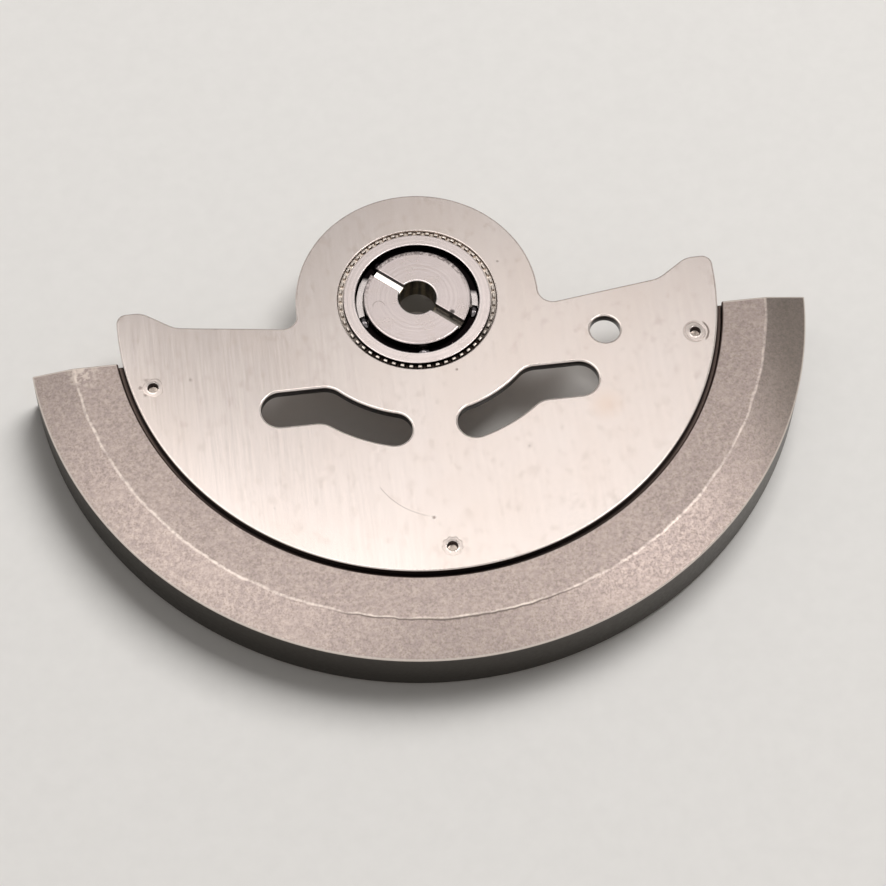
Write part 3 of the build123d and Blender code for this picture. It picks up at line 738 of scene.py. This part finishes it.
piece("carrier_ring", polar(radius, angle, height), quads(*radius.shape, True), carrier_steel,
      "carrier_steel", "rotor", ["gear_carrier"], sharp=40)

# Balls: rings of latitude, (cos lat cos lon, cos lat sin lon, sin lat), with one point at each pole
ball_rings, ball_columns = 31, 64
lat = np.radians(np.linspace(-90, 90, ball_rings + 2))[1:-1, None]
lon = np.linspace(0, 2 * np.pi, ball_columns, endpoint=False)[None]
globe = polar(np.cos(lat) + 0 * lon, lon, np.sin(lat)).reshape(-1, 3)
globe = np.concatenate([globe, [[0, 0, -1], [0, 0, 1]]]) * BALL
top_ring = (ball_rings - 1) * ball_columns
poles = [(len(globe) - 2, (i + 1) % ball_columns, i) for i in range(ball_columns)]
poles += [(len(globe) - 1, top_ring + i, top_ring + (i + 1) % ball_columns) for i in range(ball_columns)]
for number in range(5):
    centre = [*arc((0, 0), BALL_PITCH, -90 + 72 * number, 0, 1)[0], BALL_PLANE]
    name = f"ball_{number + 1}"
    piece("bearing_" + name, globe + centre, quads(ball_rings, ball_columns, False).tolist() + poles,
          ball_steel, "ball_steel", name, [name])

# Rivets: a staked end whose rim the punch left wavy, each with its own number of waves and their depth
rivet_rows = np.array([
    (0.02, 0.840), (0.10, 0.838), (0.165, 0.850), (0.178, 0.90), (0.180, 1.075), (0.183, 1.092),
    (0.189, 1.103), (0.197, 1.108), (0.208, 1.107), (0.218, 1.1042), (0.262, 1.1038), (0.300, 1.1032),
    (0.330, 1.1022), (0.345, 1.1005), (0.345, 1.098), (0.305, 1.07), (0.300, 1.05), (0.300, 0.035),
    (0.29, 0.03), (0.02, 0.03),
])
row_radius, row_height = rivet_rows[:, :1], rivet_rows[:, 1:]
staked = row_height > 1.09
rim = np.clip((row_radius - 0.19) / 0.12, 0, 1) * staked
lip = np.exp(-((row_radius - 0.200) / 0.02) ** 2) * staked
rivet_columns = 96
angle = np.linspace(0, 2 * np.pi, rivet_columns, endpoint=False)[None, :]
faces = quads(len(rivet_rows), rivet_columns, False).tolist()
last_row = (len(rivet_rows) - 1) * rivet_columns
rivet_ends = [list(range(rivet_columns))[::-1], list(range(last_row, last_row + rivet_columns))]
names = ("rivet_left", "rivet_right", "rivet_low")
for name, (x, y), waves, depth in zip(names, RIVETS, (3, 2, 9), (0.05, 0.07, 0.05)):
    radius = row_radius * (1 + depth * rim * np.cos(waves * angle + waves))
    height = row_height + 0.002 * lip * np.sin(waves * angle + 0.7)
    piece(name, polar(radius, angle, height) + [x, y, 0], faces + rivet_ends, rivet_steel, "rivet_steel",
          "rotor", ["stake_rivets"], (len(faces), len(faces) + 1))

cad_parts["ball_cage"].data.materials.clear()
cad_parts["ball_cage"].data.materials.append(cage_steel)

# Floor: pale matte paper under the weight's foot
paper, tree, shader, place = finish("Pale_matte_paper", "#E4E1DD", 0.0, 0.9)
shader.inputs["Specular IOR Level"].default_value = 0.2
pulp = add(tree, "Mapping", {"Vector": place, "Scale": steps(0.5, 0.5, 0.5)})
fibres = add(tree, "TexNoise", pulp, 0, 1, 2)
tree.links.new(layered(tree, srgb("#E1DEDA"), [(fibres, srgb("#E7E4E0"))]), shader.inputs["Base Color"])
side, level = 1200.0, WEIGHT_FOOT - 0.002
floor_mesh = bpy.data.meshes.new("floor")
corners = [(-side, -side, level), (side, -side, level), (side, side, level), (-side, side, level)]
floor_mesh.from_pydata((np.array(corners) * MM).tolist(), [], [(0, 1, 2, 3)])
floor_mesh.materials.append(paper)
floor = bpy.data.objects.new("floor", floor_mesh)
bpy.context.scene.collection.objects.link(floor)

# World: the pale studio behind, seen by the camera and in the metal, which is dimmer high up at the back,
# and a softer light on the rest
world = bpy.data.worlds.new("Studio")
bpy.context.scene.world = world
world.use_nodes = True
tree = world.node_tree
background = tree.nodes["Background"]
background.inputs["Color"].default_value = srgb("#F2F0EE")
seen = add(tree, "LightPath", out="Is Camera Ray")
for ray in ("Is Glossy Ray", "Is Transmission Ray"):
    seen = add(tree, "Math", seen, add(tree, "LightPath", out=ray), operation="MAXIMUM")
dim_direction = (0.07, 0.46, 0.885)
nearness = add(tree, "VectorMath", add(tree, "TexCoord", out="Generated"), dim_direction, out="Value",
               operation="DOT_PRODUCT")
backdrop = add(tree, "MapRange", nearness, 0.60, 0.78, 0.95, 0.42)
tree.links.new(add(tree, "Mix", {0: seen, 2: 0.30, 3: backdrop}), background.inputs["Strength"])


def lamp(name, at, size, power, colour="#FFFBF8", for_metal=True):
    """A square soft box at a point, facing the rotor's middle, in millimetres. It shows in the metal, or
    lights the paper."""
    data = bpy.data.lights.new(name, "AREA")
    data.size, data.energy, data.color = size * MM, power, srgb(colour)[:3]
    box = bpy.data.objects.new(name, data)
    box.location = Vector(at) * MM
    box.rotation_mode = "QUATERNION"
    box.rotation_quaternion = (Vector((0, -4, 1)) - Vector(at)).to_track_quat("-Z", "Y")
    box.visible_glossy, box.visible_diffuse = for_metal, not for_metal
    bpy.context.scene.collection.objects.link(box)


lamp("left_box", (-29, 17.6, 112.5), 73, 0.0340)
lamp("right_box", (38.5, 10.7, 102.5), 25, 0.0170)
lamp("back_box", (32, 100, 219.5), 56, 0.0107)
lamp("paper_box", (150, 185, 370), 270, 1.80, "#FFFFFF", for_metal=False)

# Camera, solved from the photograph's circles: its angles, the point that it looks at, and how far off it is
azimuth, elevation, roll = np.radians([-9.1, 62.40, 2.01])
aim, distance = np.array([0.168, -5.563, PLATE_TOP]), 106.187
level_right = np.array([np.cos(azimuth), np.sin(azimuth), 0])
level_back = np.array([np.sin(azimuth), -np.cos(azimuth), 0])
back = np.cos(elevation) * level_back + np.sin(elevation) * np.array([0, 0, 1])
level_up = np.cross(back, level_right)
right = np.cos(roll) * level_right + np.sin(roll) * level_up
up = -np.sin(roll) * level_right + np.cos(roll) * level_up
camera_data = bpy.data.cameras.new("camera")
camera = bpy.data.objects.new("camera", camera_data)
camera_data.sensor_width, camera_data.lens = 36, 130.47
camera_data.clip_start, camera_data.clip_end = 0.005, 10
pose = np.eye(4)
pose[:3, :3], pose[:3, 3] = np.stack([right, up, back], axis=1), (aim + back * distance) * MM
camera.matrix_world = Matrix(pose.tolist())
bpy.context.scene.collection.objects.link(camera)
bpy.context.scene.camera = camera
bpy.context.scene.view_settings.view_transform = "Standard"

bpy.context.view_layer.update()
